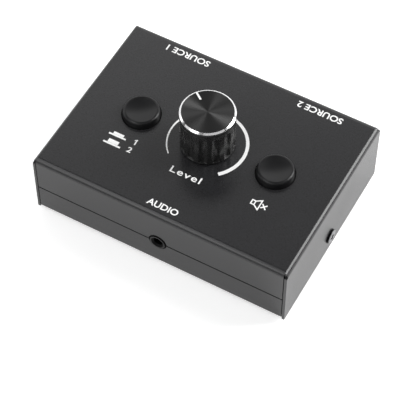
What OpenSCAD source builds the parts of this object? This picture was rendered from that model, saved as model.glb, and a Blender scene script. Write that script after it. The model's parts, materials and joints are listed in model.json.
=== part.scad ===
// Passive audio source selector: a folded steel case with a shared jack in front, two source
// jacks behind, a level knob and two latching push buttons on top.
// Lengths are in millimetres. The origin lies on the table, under the middle of the case.
// The front is towards -Y, the right side towards +X.

/* [Case] */
// Width across the two side walls
case_w = 100; // [94:1:130]
// Depth from the front face to the back face
case_d = 71.7; // [68:0.1:100]
// Height from the lower edge of the walls to the top panel
case_h = 27.5; // [26:0.5:36]
// Thickness of the folded sheet
sheet_t = 1; // [0.8:0.1:1.2]
// Outer radius of the cover's folds
bend_r = 2; // [1.6:0.1:3]
// Outer radius of the base's folds
base_bend_r = 1.4; // [1.3:0.1:3]
// Length by which the side folds stop short of the cover's front and back
corner_relief = 0.8; // [0.6:0.1:1.6]
// Height of the seam between cover and base above the lower edge of the walls
seam_h = 12; // [11:0.5:14]
// Width of the open seam
seam_gap = 0.6; // [0.2:0.1:1]
// Gap between a folded flange and the side wall beside it
corner_gap = 0.3; // [0.2:0.05:0.8]
// Height of the base's underside above the lower edge of the walls
base_lift = 0; // [0:0.1:0.8]

/* [Feet] */
// Diameter of a rubber foot
foot_dia = 9; // [6:0.5:12]
// Height of a rubber foot
foot_h = 1.8; // [1.2:0.1:4]
// Edge rounding of a rubber foot
foot_round = 0.6; // [0.2:0.1:0.9]
// Distance of a foot's centre from the outer faces of the case
foot_inset = 10; // [8:0.5:16]

/* [Side screws] */
// Height of the side screws above the lower edge of the walls
side_screw_h = 7; // [5.5:0.1:8]
// Distance of the side screws behind the middle of the depth
side_screw_y = -1.3; // [-6:0.1:6]
// Length of a side screw under its head
side_screw_l = 4; // [3.5:0.1:5]
// Thread diameter of all screws
screw_dia = 3; // [2.5:0.1:3.5]
// Diameter of a pan head
screw_head_dia = 5.6; // [5:0.1:7]
// Height of a pan head
screw_head_h = 0.9; // [0.8:0.1:2.5]
// Edge rounding of a pan head
screw_edge_r = 0.6; // [0.3:0.1:0.7]
// Length of an arm of the cross recess, end to end
recess_l = 2.6; // [2.2:0.1:3.6]
// Width of an arm of the cross recess
recess_w = 0.8; // [0.6:0.1:1.2]
// Depth of the cross recess
recess_h = 0.8; // [0.5:0.1:1]
// Radial clearance of a screw in a plain hole
screw_clear = 0.2; // [0.1:0.05:0.3]
// Width of the tab that takes a side screw
tab_w = 14; // [10:1:20]
// Height of the tab above the base's underside
tab_h = 10.5; // [9.5:0.5:11]
// Gap between a tab and the side wall
tab_gap = 0.2; // [0.1:0.05:0.3]
// Height of the drawn collar round a tab's thread
collar_h = 0.8; // [0.4:0.1:1]

/* [Jacks] */
// Distance of a rear jack from the middle of the case
rear_jack_x = 27; // [20:0.5:30]
// Bore for the plug
jack_bore_dia = 3.6; // [3.5:0.05:3.8]
// Depth of the straight bore
jack_bore_l = 13.5; // [12:0.5:15]
// Depth and width of the mouth's chamfer
jack_chamfer = 0.7; // [0.2:0.1:0.8]
// Diameter of the nose in the panel
jack_nose_dia = 6; // [5.5:0.1:6.4]
// Length of the nose that stands out of the panel
jack_nose_proud = 0.3; // [0:0.1:0.8]
// Clear ring between the nose and the panel's hole
jack_ring_gap = 0.5; // [0.3:0.1:0.8]
// Width of the jack's block
jack_w = 8; // [7.5:0.1:10]
// Height of the jack's block
jack_h = 6.4; // [6.2:0.1:8]
// Height of the bore's axis above the board
jack_axis_h = 3.2; // [3.1:0.1:3.8]
// Gap between the jack's block and the inside of the panel
jack_panel_gap = 0.4; // [0.2:0.1:0.8]
// Wall behind the end of the bore
jack_end_wall = 1; // [0.6:0.1:2]
// Distance of the left terminal behind the block's front
jack_pin_left = 3.5; // [2:0.1:6]
// Distance of the right terminal behind the block's front
jack_pin_right = 7.5; // [4:0.1:10]

/* [Board] */
// Thickness of the circuit board
board_t = 1.6; // [1:0.2:2]
// Gap between the board's edge and the nearest metal
board_gap = 1; // [0.5:0.1:2]
// Distance of a standoff's centre from the board's edges
standoff_inset = 5; // [4:0.5:8]
// Size of a standoff across its flats
standoff_af = 5.5; // [5:0.1:6]
// Diameter of the standoff's shank in the base
standoff_shank_dia = 4.2; // [3.8:0.1:4.6]
// Length of a board screw under its head
board_screw_l = 5; // [4:0.5:6]
// Width of a terminal pin
pin_w = 0.8; // [0.5:0.1:1]
// Thickness of a terminal pin
pin_t = 0.4; // [0.3:0.1:0.5]
// Length of a pin below the board
pin_below = 1.2; // [0.8:0.1:2]
// Clearance between a pin and its hole in the board
pin_clear = 0.1; // [0.05:0.05:0.2]

/* [Potentiometer] */
// Width of the potentiometer's case
pot_w = 9.8; // [9.5:0.1:12]
// Depth of the potentiometer's case
pot_d = 11.4; // [10:0.1:14]
// Height of the double case above the board
pot_h = 10.5; // [10:0.1:11]
// Thickness of the case's floor
pot_floor = 1; // [0.8:0.1:1.2]
// Radius of the two chambers in the case
pot_chamber_r = 4.3; // [4.1:0.05:4.5]
// Thickness of a resistance wafer
wafer_t = 0.8; // [0.6:0.1:1]
// Thickness of a wiper disc
wiper_t = 1.2; // [0.8:0.1:1.4]
// Running gap between a wafer and its wiper disc
wiper_gap = 0.3; // [0.2:0.05:0.5]
// Thickness of the metal mounting plate
pot_plate_t = 1; // [0.8:0.1:1.5]
// Outer diameter of the bushing
bushing_dia = 6.9; // [6.7:0.05:7.5]
// Height of the bushing's end above the panel
bushing_proud = 0.3; // [0:0.1:0.5]
// Gap between the bushing and the panel's hole
bushing_gap = 0.25; // [0.2:0.05:0.5]
// Diameter of the shaft
shaft_dia = 6; // [5.5:0.1:6.2]
// Depth of the flat on the shaft's end
shaft_flat = 1.5; // [1:0.1:2]
// Diameter of the shaft's inner end
spindle_dia = 3.5; // [3:0.1:4]
// Running clearance round the shaft
shaft_clear = 0.06; // [0.03:0.01:0.1]
// Spacing of the potentiometer's terminals
pot_pitch = 2.5; // [2.2:0.1:3]
// Distance of the lower wafer's terminals behind the case
pot_row_near = 1.2; // [0.8:0.1:1.8]
// Distance of the upper wafer's terminals behind the case
pot_row_far = 3.7; // [3:0.1:5]
// Thickness of the stop collar on the shaft
shaft_collar_h = 1; // [0.6:0.1:1.2]
// Gap between the stop collar and the chamber's wall
shaft_collar_gap = 0.4; // [0.2:0.05:0.6]
// Distance of a contact pad from the shaft's axis
wiper_pad_r = 2.6; // [2.4:0.1:3.2]
// Diameter of a contact pad
wiper_pad_dia = 0.8; // [0.5:0.1:1]
// Angle between a wiper's two contact pads
wiper_pad_angle = 40; // [25:1:90]

/* [Knob] */
// Diameter of the knob's collar and cap
knob_dia = 19.8; // [18:0.1:26]
// Height of the knob's top above the panel
knob_top_h = 17.8; // [16.5:0.1:24]
// Gap between the knob and the panel
knob_gap = 0.3; // [0.2:0.1:1.5]
// Depth by which the gripping part is set in from the collar
knob_grip_step = 0.1; // [0.05:0.05:0.6]
// Height of the smooth collar under the cap
knob_collar_h = 1.5; // [1:0.1:3]
// Height of the smooth rim at the foot of the knob
knob_rim_h = 0.8; // [0.6:0.1:3]
// Number of flutes round the grip
flute_count = 13; // [8:1:15]
// Radius of a flute
flute_r = 1.9; // [1.4:0.1:2.2]
// Depth of a flute
flute_depth = 0.65; // [0.4:0.05:1.1]
// Angle from the index line to the nearest flute
flute_phase = 6.7; // [0:0.1:24]
// Wall round the hollow in the knob's underside
knob_wall = 2.2; // [1.8:0.1:2.6]
// Depth of the hollow in the knob's underside
knob_hollow_h = 6; // [3:0.5:8]
// Diameter of the knob's hub
hub_dia = 10; // [9:0.1:11]
// Clearance of the hub's end above the knob's foot and the bushing
hub_lift = 0.2; // [0.1:0.1:1]
// Length of the shaft held in the hub
hub_grip_l = 10; // [8:0.5:12]
// Length of the round lead-in below the shaft's flat
flat_lead = 1; // [0.5:0.1:2]
// Thickness of the metal cap
cap_t = 1.3; // [1:0.1:2]
// Width of the bright bevel
bevel_w = 0.65; // [0.4:0.05:1.2]
// Height of the bright bevel
bevel_h = 0.5; // [0.3:0.05:0.9]
// Diameter of the spigot that seats the cap
spigot_dia = 9; // [6:0.5:12]
// Length of the spigot
spigot_l = 1.2; // [0.8:0.1:2]
// Direction of the index line, anticlockwise from +X
index_angle = 143.5; // [0:0.5:360]
// Length of the index line
index_l = 3.4; // [2:0.1:5]
// Width of the index line
index_w = 0.75; // [0.5:0.05:1.2]
// Depth of the groove of the index line
index_depth = 0.15; // [0.1:0.05:0.3]

/* [Buttons] */
// Distance of a button from the middle of the case
button_x = 26.8; // [22:0.1:30]
// Diameter of a button
button_dia = 13.9; // [12:0.1:16]
// Height of a button's rim above the panel
button_proud = 2.6; // [2.4:0.1:5]
// Way that a button travels
button_travel = 2.2; // [1.5:0.1:2.4]
// Running gap between a button and the panel's hole
button_gap = 0.25; // [0.2:0.05:0.6]
// Height of a button's straight side above the panel
side_h = 0.3; // [0.1:0.1:0.8]
// Width by which a button's side tapers towards the rim
side_taper = 0.4; // [0.2:0.1:0.8]
// Radius of a button's rim
rim_r = 0.4; // [0.2:0.05:0.6]
// Diameter of the dish in a button's top
dish_dia = 11.8; // [8:0.1:11.8]
// Depth of the dish in a button's top
dish_depth = 0.7; // [0.3:0.05:1]
// Wall of a button's skirt
button_wall = 1.2; // [1:0.1:1.6]
// Least thickness of a button's top
button_top_t = 1.2; // [1:0.1:1.8]
// Length of the skirt below the panel, with the button out
skirt_below = 3; // [2:0.1:3.5]
// Diameter of the boss that grips the plunger
boss_dia = 6.2; // [5.8:0.1:7]

/* [Switches] */
// Width of a switch housing
switch_w = 8.5; // [8.3:0.1:10]
// Thickness of a switch housing's walls
switch_wall = 1; // [0.8:0.1:1.2]
// Side of the square plunger
plunger_w = 3.3; // [3:0.1:3.6]
// Running gap round the plunger
plunger_gap = 0.2; // [0.1:0.05:0.3]
// Side of the plunger's stop flange
flange_w = 5.6; // [5:0.1:5.8]
// Thickness of the plunger's stop flange
flange_t = 1.2; // [0.8:0.1:1.4]
// Play of the stop flange under the housing's roof
flange_play = 0.1; // [0.05:0.05:0.2]
// Clearance of the plunger in the button's boss
boss_clear = 0.05; // [0.02:0.01:0.1]
// Length of the plunger held in the boss
boss_grip_l = 4; // [3:0.5:5]
// Wire thickness of the return spring
spring_wire = 0.4; // [0.3:0.05:0.5]
// Outer diameter of the return spring
spring_dia = 4; // [3:0.1:4.4]
// Number of turns of the return spring
spring_turns = 4; // [3:1:5]
// Room left for the pressed spring
spring_pressed_h = 2.2; // [2:0.1:2.8]
// Play at each end of the return spring
spring_play = 0.05; // [0.02:0.01:0.1]
// Spacing of the terminals in a row
switch_pitch = 2; // [1.8:0.1:2.4]
// Distance between the two rows of terminals
switch_row = 4.5; // [4:0.1:5]

/* [Hidden] */
$fn = 64;

// Cuts run past the faces that they open by this much
past = 1;
// Threads and pressed seats keep this radial clearance
seat_clear = 0.02;

// Heights
base_z = foot_h;
case_z = base_z - base_lift;
floor_z = base_z + sheet_t;
panel_z = case_z + case_h;
ceiling_z = panel_z - sheet_t;
seam_z = case_z + seam_h;
board_top_z = seam_z - jack_axis_h;
board_z = board_top_z - board_t;
side_screw_z = case_z + side_screw_h;

// Case
flange_half = case_w / 2 - sheet_t - corner_gap;
tab_x = case_w / 2 - sheet_t - tab_gap;
tab_relief = sheet_t;
jack_hole_dia = jack_nose_dia + 2 * jack_ring_gap;
screw_hole_dia = screw_dia + 2 * screw_clear;

// Board
board_w = case_w - 2 * (side_screw_l + board_gap);
board_d = case_d - 2 * (sheet_t + board_gap);
standoff_h = board_z - floor_z;
standoff_at = [
    for (sx = [-1, 1], sy = [-1, 1])
        [sx * (board_w / 2 - standoff_inset), sy * (board_d / 2 - standoff_inset)]
];
foot_at = [
    for (sx = [-1, 1], sy = [-1, 1])
        [sx * (case_w / 2 - foot_inset), sy * (case_d / 2 - foot_inset)]
];
pin_hole_dia = sqrt(pin_w * pin_w + pin_t * pin_t) + 2 * pin_clear;

// Jacks: each is placed by [x, turn], and its mouth faces -Y before the turn
front_jack_at = [0, 0];
rear_jack_1_at = [-rear_jack_x, 180];
rear_jack_2_at = [rear_jack_x, 180];
jacks_at = [front_jack_at, rear_jack_1_at, rear_jack_2_at];
jack_tip_y = -case_d / 2 - jack_nose_proud;
jack_block_y = -case_d / 2 + sheet_t + jack_panel_gap;
jack_end_y = jack_tip_y + jack_chamfer + jack_bore_l + jack_end_wall;
jack_side_pins = [[-1, jack_pin_left], [1, jack_pin_right]];

// Potentiometer
pot_top_z = board_top_z + pot_h;
pot_stage_h = (pot_h - pot_floor) / 2;
wafer_z = [for (i = [0, 1]) board_top_z + pot_floor + i * pot_stage_h];
wiper_z = [for (z = wafer_z) z + wafer_t + wiper_gap];
shaft_collar_r = pot_chamber_r - shaft_collar_gap;
shaft_collar_z = pot_top_z - wiper_gap - shaft_collar_h;
bushing_z = panel_z + bushing_proud;
pot_rows = [pot_row_near, pot_row_far];

// Knob
knob_z = panel_z + knob_gap;
knob_top_z = panel_z + knob_top_h;
cap_z = knob_top_z - cap_t;
grip_r = knob_dia / 2 - knob_grip_step;
flute_low_z = knob_z + knob_rim_h;
flute_top_z = cap_z - knob_collar_h - flute_r;
hub_low_z = max(knob_z, bushing_z) + hub_lift;
shaft_top_z = hub_low_z + hub_grip_l;
flat_z = hub_low_z + flat_lead;

// Buttons and switches
button_top_z = panel_z + button_proud;
button_low_z = ceiling_z - skirt_below;
dish_r = dish_dia / 2;
dish_ball_r = (dish_r * dish_r + dish_depth * dish_depth) / (2 * dish_depth);
button_roof_z = button_top_z - dish_depth - button_top_t;
plunger_top_z = button_roof_z - boss_clear;
switch_h = 2 * switch_wall + flange_play + flange_t + button_travel + spring_pressed_h;
switch_roof_z = board_top_z + switch_h - switch_wall;
flange_z = switch_roof_z - flange_play - flange_t;
spring_low_z = board_top_z + switch_wall + spring_play;
spring_high_z = flange_z - spring_play;
spring_r = (spring_dia - spring_wire) / 2;
spring_sides = 6;
spring_turn_rings = 10;

// Outline of a folded channel that opens downwards, with its top edge on the X axis
module channel_outline(w, h, r) {
    translate([-w / 2, -h])
        square([w, h - r]);
    translate([r - w / 2, -h])
        square([w - 2 * r, h]);
    for (s = [-1, 1])
        translate([s * (w / 2 - r), -r])
            circle(r);
}

// Folded channel of sheet that opens downwards, with that outer radius of its folds
module channel(w, h, r) {
    difference() {
        channel_outline(w, h, r);
        translate([0, -sheet_t])
            channel_outline(w - 2 * sheet_t, h, r - sheet_t);
    }
}

// Sweeps an outline of [x, z] along Y, centred
module sweep_y(length) {
    rotate([90, 0, 0])
        linear_extrude(length, center = true)
            children();
}

// Sweeps an outline of [y, z] along X, centred
module sweep_x(length) {
    rotate([90, 0, 90])
        linear_extrude(length, center = true)
            children();
}

// Places its children at a jack's place on the case
module at_jack(place) {
    translate([place[0], 0, 0])
        rotate(place[1])
            children();
}

// The round holes that the jacks' noses stand in, halved by the seam
module jack_holes() {
    for (place = jacks_at)
        at_jack(place)
            translate([0, -case_d / 2 + sheet_t + past, seam_z])
                rotate([90, 0, 0])
                    cylinder(d = jack_hole_dia, h = sheet_t + 2 * past);
}

// Upright square bar, centred on the origin's axis
module bar(w, h) {
    translate([-w / 2, -w / 2, 0])
        cube([w, w, h]);
}

// Cross-recessed pan-head screw, head up, seated on z = 0
module pan_screw(length) {
    head_r = screw_head_dia / 2;
    difference() {
        union() {
            rotate_extrude()
                intersection() {
                    square([head_r, screw_head_h]);
                    union() {
                        square([head_r, screw_head_h - screw_edge_r]);
                        square([head_r - screw_edge_r, screw_head_h]);
                        translate([head_r - screw_edge_r, screw_head_h - screw_edge_r])
                            circle(screw_edge_r);
                    }
                }
            translate([0, 0, -length])
                cylinder(d = screw_dia - 2 * seat_clear, h = length);
        }
        for (turn = [0, 90])
            rotate(turn)
                translate([-recess_l / 2, -recess_w / 2, screw_head_h - recess_h])
                    cube([recess_l, recess_w, recess_h + past]);
    }
}

// Folded cover: top panel, full side walls, short front and back flanges
module top_cover() {
    color("#2b2c2e")
    difference() {
        union() {
            translate([0, 0, panel_z])
                sweep_y(case_d - 2 * bend_r)
                    channel(case_w, case_h, bend_r);
            translate([0, 0, panel_z])
                sweep_x(2 * flange_half)
                    channel(case_d, case_h - seam_h - seam_gap / 2, bend_r);
            side_fold_ends();
            for (s = [-1, 1])
                translate([s * (case_w - sheet_t) / 2 - sheet_t / 2, -case_d / 2, case_z])
                    cube([sheet_t, case_d, case_h - bend_r]);
        }
        translate([0, 0, ceiling_z - past])
            cylinder(d = bushing_dia + 2 * bushing_gap, h = sheet_t + 2 * past);
        for (s = [-1, 1])
            translate([s * button_x, 0, ceiling_z - past])
                cylinder(d = button_dia + 2 * button_gap, h = sheet_t + 2 * past);
        jack_holes();
        translate([-case_w / 2 - past, side_screw_y, side_screw_z])
            rotate([0, 90, 0])
                cylinder(d = screw_hole_dia, h = case_w + 2 * past);
    }
}

// Outer strips of the side folds, which run on past the front and back folds
module side_fold_ends() {
    strip_w = case_w / 2 - flange_half;
    length = case_d - 2 * corner_relief;
    intersection() {
        translate([0, 0, panel_z])
            sweep_y(length)
                channel(case_w, case_h, bend_r);
        for (s = [-1, 1])
            translate([s * (case_w - strip_w) / 2 - strip_w / 2, -length / 2, case_z])
                cube([strip_w, length, case_h]);
    }
}

// Folded base: floor, front and back flanges, and a tapped tab at each side
module base_pan() {
    base_h = seam_h - seam_gap / 2 - base_lift;
    color("#2b2c2e")
    difference() {
        union() {
            difference() {
                translate([0, 0, base_z])
                    mirror([0, 0, 1])
                        sweep_x(2 * flange_half)
                            channel(case_d, base_h, base_bend_r);
                for (s = [-1, 1])
                    translate([s * (tab_x - base_bend_r + case_w / 2), side_screw_y, base_z + sheet_t / 2])
                        cube([case_w, tab_w + 2 * tab_relief, sheet_t + 2 * past], center = true);
            }
            translate([0, side_screw_y, base_z])
                mirror([0, 0, 1])
                    sweep_y(tab_w)
                        channel(2 * tab_x, tab_h, base_bend_r);
            for (s = [-1, 1])
                translate([s * (tab_x - sheet_t), side_screw_y, side_screw_z])
                    rotate([0, -90 * s, 0])
                        cylinder(d = screw_dia + 2 * sheet_t, h = collar_h);
        }
        for (at = standoff_at)
            translate([at[0], at[1], base_z - past])
                cylinder(d = standoff_shank_dia, h = sheet_t + 2 * past);
        jack_holes();
        translate([-case_w / 2, side_screw_y, side_screw_z])
            rotate([0, 90, 0])
                cylinder(d = screw_dia, h = case_w);
    }
}

// One pan-head screw through each side wall into the tab behind it
module side_screws() {
    color("#3a3a3c")
    for (s = [-1, 1])
        translate([s * case_w / 2, side_screw_y, side_screw_z])
            rotate([0, 90 * s, 0])
                pan_screw(side_screw_l);
}

// Four stick-on feet under the base
module rubber_feet() {
    color("#1b1b1b")
    for (at = foot_at)
        translate([at[0], at[1], 0])
            rotate_extrude()
                intersection() {
                    square([foot_dia / 2, foot_h]);
                    union() {
                        translate([0, foot_round])
                            square([foot_dia / 2, foot_h]);
                        square([foot_dia / 2 - foot_round, foot_h]);
                        translate([foot_dia / 2 - foot_round, foot_round])
                            circle(foot_round);
                    }
                }
}

// Places its children at each pin of one jack, and gives each the pin's own turn
module at_jack_pins(place) {
    at_jack(place)
        translate([0, jack_block_y, 0]) {
            for (side = jack_side_pins)
                translate([side[0] * (jack_w - pin_t) / 2, side[1], 0])
                    rotate(90)
                        children();
            translate([0, jack_end_y - jack_block_y - pin_t / 2, 0])
                children();
        }
}

// Places its children at each pin of the potentiometer
module at_pot_pins() {
    for (row = pot_rows, i = [-1:1])
        translate([i * pot_pitch, pot_d / 2 + row, 0])
            children();
}

// Places its children at each pin of one switch
module at_switch_pins(s) {
    translate([s * button_x, 0, 0])
        for (row = [-1, 1], i = [-1:1])
            translate([i * switch_pitch, row * switch_row / 2, 0])
                children();
}

// Board that carries the jacks, the switches and the potentiometer
module circuit_board() {
    color("#2f5d3a")
    translate([0, 0, board_z])
    difference() {
        translate([-board_w / 2, -board_d / 2, 0])
            cube([board_w, board_d, board_t]);
        for (at = standoff_at)
            translate([at[0], at[1], -past])
                cylinder(d = screw_hole_dia, h = board_t + 2 * past);
        translate([0, 0, -past]) {
            for (place = jacks_at)
                at_jack_pins(place)
                    cylinder(d = pin_hole_dia, h = board_t + 2 * past);
            at_pot_pins()
                cylinder(d = pin_hole_dia, h = board_t + 2 * past);
            for (s = [-1, 1])
                at_switch_pins(s)
                    cylinder(d = pin_hole_dia, h = board_t + 2 * past);
        }
    }
}

// Hexagonal standoffs, clinched into the floor by a round shank
module board_standoffs() {
    color("#b9bcc0")
    for (at = standoff_at)
        translate([at[0], at[1], 0])
            difference() {
                union() {
                    translate([0, 0, floor_z])
                        cylinder(d = standoff_af / cos(30), h = standoff_h, $fn = 6);
                    translate([0, 0, base_z])
                        cylinder(d = standoff_shank_dia - 2 * seat_clear, h = sheet_t + standoff_h / 2);
                }
                translate([0, 0, floor_z])
                    cylinder(d = screw_dia, h = standoff_h + past);
            }
}

// Screws that hold the board on its standoffs
module board_screws() {
    color("#c3c5c8")
    for (at = standoff_at)
        translate([at[0], at[1], board_top_z])
            pan_screw(board_screw_l);
}

// Jack housing: a block on the board with a round nose in the panel's split hole
module jack(place) {
    mouth_r = jack_bore_dia / 2 + jack_chamfer;
    color("#202124")
    at_jack(place)
    difference() {
        union() {
            translate([-jack_w / 2, jack_block_y, board_top_z])
                cube([jack_w, jack_end_y - jack_block_y, jack_h]);
            translate([0, jack_tip_y, seam_z])
                rotate([-90, 0, 0])
                    cylinder(d = jack_nose_dia, h = jack_block_y - jack_tip_y + past);
        }
        translate([0, jack_tip_y, seam_z])
            rotate([-90, 0, 0])
                cylinder(d = jack_bore_dia, h = jack_chamfer + jack_bore_l);
        translate([0, jack_tip_y, seam_z])
            rotate([-90, 0, 0])
                cylinder(r1 = mouth_r, r2 = jack_bore_dia / 2, h = jack_chamfer);
        rotate(-place[1])
            translate([-place[0], 0, board_top_z - past])
                at_jack_pins(place)
                    jack_groove();
    }
}

// Groove in a jack's block for one terminal
module jack_groove() {
    groove_w = pin_w + 2 * pin_clear;
    translate([-groove_w / 2, -pin_t / 2 - seat_clear, 0])
        cube([groove_w, pin_t + 2 * seat_clear, jack_axis_h + 2 * past]);
}

// Flat terminal that runs from a height above the board to below it
module pin(top) {
    translate([-pin_w / 2, -pin_t / 2, board_z - pin_below])
        cube([pin_w, pin_t, board_t + pin_below + top]);
}

// The three terminals of one jack
module jack_terminals(place) {
    color("#c9c4b4")
    at_jack_pins(place)
        pin(jack_axis_h);
}

// Lower housing of the double potentiometer
module pot_case() {
    color("#2a2522")
    difference() {
        translate([-pot_w / 2, -pot_d / 2, board_top_z])
            cube([pot_w, pot_d, pot_h]);
        translate([0, 0, board_top_z + pot_floor])
            cylinder(r = pot_chamber_r, h = pot_h);
    }
}

// Resistance wafers, one for each channel
module pot_wafers() {
    color("#5a3a1e")
    for (i = [0, 1])
        translate([0, 0, wafer_z[i]])
            difference() {
                cylinder(r = pot_chamber_r - seat_clear, h = wafer_t);
                translate([0, 0, -past])
                    cylinder(d = spindle_dia + 2 * wiper_gap, h = wafer_t + 2 * past);
            }
}

// Metal plate and bushing that guide the shaft
module pot_bushing() {
    color("#b4b6b9")
    difference() {
        union() {
            translate([-pot_w / 2, -pot_d / 2, pot_top_z])
                cube([pot_w, pot_d, pot_plate_t]);
            translate([0, 0, pot_top_z])
                cylinder(d = bushing_dia, h = bushing_z - pot_top_z);
        }
        translate([0, 0, pot_top_z - past])
            cylinder(d = shaft_dia + 2 * shaft_clear, h = bushing_z - pot_top_z + 2 * past);
    }
}

// Bent terminals of the two wafers
module pot_terminals() {
    color("#c9c4b4")
    for (i = [0, 1], k = [-1:1])
        translate([k * pot_pitch, pot_d / 2, 0]) {
            translate([-pin_w / 2, 0, wafer_z[i]])
                cube([pin_w, pot_rows[i], pin_t]);
            translate([0, pot_rows[i], 0])
                pin(wafer_z[i] + pin_t - board_top_z);
        }
}

// Round bar from one height to another, with a flat on the +X side of its upper end
module flatted_bar(low_z, flat_z, top_z, clear) {
    difference() {
        translate([0, 0, low_z])
            cylinder(d = shaft_dia + 2 * clear, h = top_z - low_z);
        translate([shaft_dia / 2 - shaft_flat + clear, -shaft_dia, flat_z])
            cube([shaft_dia, 2 * shaft_dia, top_z - flat_z + past]);
    }
}

// Shaft with its thin inner end, stop collar and flatted outer end
module pot_shaft() {
    color("#c0c2c5")
    union() {
        translate([0, 0, wafer_z[0] + wiper_gap])
            cylinder(d = spindle_dia, h = shaft_collar_z - wafer_z[0]);
        translate([0, 0, shaft_collar_z])
            cylinder(r = shaft_collar_r, h = shaft_collar_h);
        rotate(index_angle)
            flatted_bar(shaft_collar_z, flat_z, shaft_top_z, 0);
    }
}

// Wiper discs that turn with the shaft, each with a pair of raised contact pads
module pot_wipers() {
    color("#8f7a4a")
    for (z = wiper_z)
        translate([0, 0, z])
            difference() {
                union() {
                    cylinder(r = pot_chamber_r - wiper_gap, h = wiper_t);
                    for (s = [-1, 1])
                        rotate(index_angle + s * wiper_pad_angle / 2)
                            translate([wiper_pad_r, 0, -wiper_gap / 2])
                                cylinder(d = wiper_pad_dia, h = wiper_gap);
                }
                translate([0, 0, -past])
                    cylinder(d = spindle_dia + 2 * seat_clear, h = wiper_t + 2 * past);
            }
}

// Moulded knob: smooth collar, fluted grip, foot rim and a hub in a hollow underside
module knob_body() {
    hollow_r = knob_dia / 2 - knob_wall;
    color("#141414")
    difference() {
        union() {
            translate([0, 0, knob_z])
                cylinder(r = grip_r, h = cap_z - knob_z);
            translate([0, 0, cap_z - knob_collar_h])
                cylinder(d = knob_dia, h = knob_collar_h);
        }
        for (i = [0:flute_count - 1])
            rotate(index_angle + flute_phase + i * 360 / flute_count)
                flute();
        difference() {
            translate([0, 0, knob_z - past])
                cylinder(r = hollow_r, h = knob_hollow_h + past);
            translate([0, 0, hub_low_z])
                cylinder(d = hub_dia, h = knob_hollow_h);
        }
        rotate(index_angle)
            flatted_bar(knob_z - past, flat_z, shaft_top_z + seat_clear, seat_clear);
        translate([0, 0, cap_z - spigot_l - seat_clear])
            cylinder(d = spigot_dia + 2 * seat_clear, h = spigot_l + past);
    }
}

// Round-ended groove of the grip, at angle zero
module flute() {
    translate([grip_r + flute_r - flute_depth, 0, 0]) {
        translate([0, 0, flute_low_z])
            cylinder(r = flute_r, h = flute_top_z - flute_low_z);
        translate([0, 0, flute_top_z])
            sphere(flute_r);
    }
}

// Metal cap with a bevelled edge, an index groove and a seating spigot
module knob_cap() {
    cap_r = knob_dia / 2;
    color("#3a3a3c")
    difference() {
        union() {
            translate([0, 0, cap_z])
                cylinder(r = cap_r, h = cap_t - bevel_h);
            translate([0, 0, knob_top_z - bevel_h])
                cylinder(r1 = cap_r, r2 = cap_r - bevel_w, h = bevel_h);
            translate([0, 0, cap_z - spigot_l])
                cylinder(d = spigot_dia, h = spigot_l + cap_t / 2);
        }
        rotate(index_angle)
            translate([cap_r - bevel_w - index_l, -index_w / 2, knob_top_z - index_depth])
                cube([index_l + past, index_w, index_depth + past]);
    }
}

// Half outline of a button before it is dished: straight skirt, tapered side and round rim
module button_outline() {
    r = button_dia / 2;
    side_z = panel_z + side_h;
    rim_x = r - side_taper - rim_r;
    rim_z = button_top_z - rim_r;
    foot = [r - rim_x, side_z - rim_z];
    turn = atan2(foot[1], foot[0]) + acos(rim_r / norm(foot));
    polygon([
        [0, button_low_z], [r, button_low_z], [r, side_z],
        [rim_x + rim_r * cos(turn), rim_z + rim_r * sin(turn)],
        [rim_x, rim_z], [rim_x, button_top_z], [0, button_top_z]
    ]);
    translate([rim_x, rim_z])
        circle(rim_r);
}

// Dished push button with a hollow skirt and a square-socketed boss
module button(s) {
    r = button_dia / 2;
    color("#1c1c1e")
    translate([s * button_x, 0, 0])
    difference() {
        rotate_extrude()
            button_outline();
        translate([0, 0, button_top_z - dish_depth + dish_ball_r])
            sphere(dish_ball_r, $fn = 128);
        difference() {
            translate([0, 0, button_low_z - past])
                cylinder(r = r - button_wall, h = button_roof_z - button_low_z + past);
            translate([0, 0, button_roof_z - boss_grip_l])
                cylinder(d = boss_dia, h = boss_grip_l + past);
        }
        translate([0, 0, button_roof_z - boss_grip_l - past])
            bar(plunger_w + 2 * boss_clear, boss_grip_l + past);
    }
}

// Square plunger with its stop flange, from inside the switch to the button's boss
module plunger(s) {
    color("#e6e3da")
    translate([s * button_x, 0, 0]) {
        translate([0, 0, flange_z])
            bar(flange_w, flange_t);
        translate([0, 0, flange_z])
            bar(plunger_w, plunger_top_z - flange_z);
    }
}

// Latching switch housing with a guided opening for the plunger
module switch(s) {
    chamber_w = switch_w - 2 * switch_wall;
    color("#1f2023")
    translate([s * button_x, 0, board_top_z])
    difference() {
        bar(switch_w, switch_h);
        translate([0, 0, switch_wall])
            bar(chamber_w, switch_h - 2 * switch_wall);
        translate([0, 0, switch_wall])
            bar(plunger_w + 2 * plunger_gap, switch_h);
    }
}

// The six terminals of one switch
module switch_terminals(s) {
    color("#c9c4b4")
    at_switch_pins(s)
        pin(0);
}

// Points of the return spring's middle line
spring_rings = spring_turns * spring_turn_rings;
spring_rise = spring_high_z - spring_low_z - spring_wire;
function spring_point(i) =
    let (a = 360 * i / spring_turn_rings)
    [
        spring_r * cos(a),
        spring_r * sin(a),
        spring_low_z + spring_wire / 2 + spring_rise * i / spring_rings
    ];
spring_line = [for (i = [0:spring_rings]) spring_point(i)];

// Least clear distance between turns, measured on the points
spring_clear = min([
    for (i = [0:spring_rings - spring_turn_rings])
        norm(spring_line[i + spring_turn_rings] - spring_line[i]) - spring_wire
]);
echo(least_gap_between_spring_turns = spring_clear);

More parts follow.
